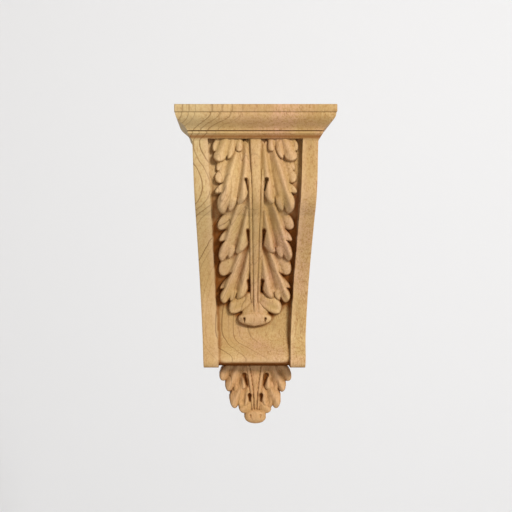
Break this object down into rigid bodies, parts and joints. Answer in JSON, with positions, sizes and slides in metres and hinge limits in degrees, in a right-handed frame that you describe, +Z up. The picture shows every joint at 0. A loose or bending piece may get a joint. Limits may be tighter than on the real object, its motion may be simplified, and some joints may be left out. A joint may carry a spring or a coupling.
{
  "type": "corbel bracket",
  "caption": "Carved wooden corbel: moulded cap, tapering S-curved body with a sunk panel of acanthus leaves between two rails, rounded foot and leaf drop; flat back and top.",
  "frame": {"origin": "centre of the flat back, in the wall plane, midway between the cap's top and the drop's tip", "axes": "+X to the viewer's right, +Y into the wall, +Z up; the carved front faces -Y"},
  "size_m": [0.171, 0.112, 0.35],
  "materials": {
    "wood": "sanded, unfinished"
  },
  "bodies": {
    "root": {"corbel_bracket": "wood"}
  },
  "joints": []
}
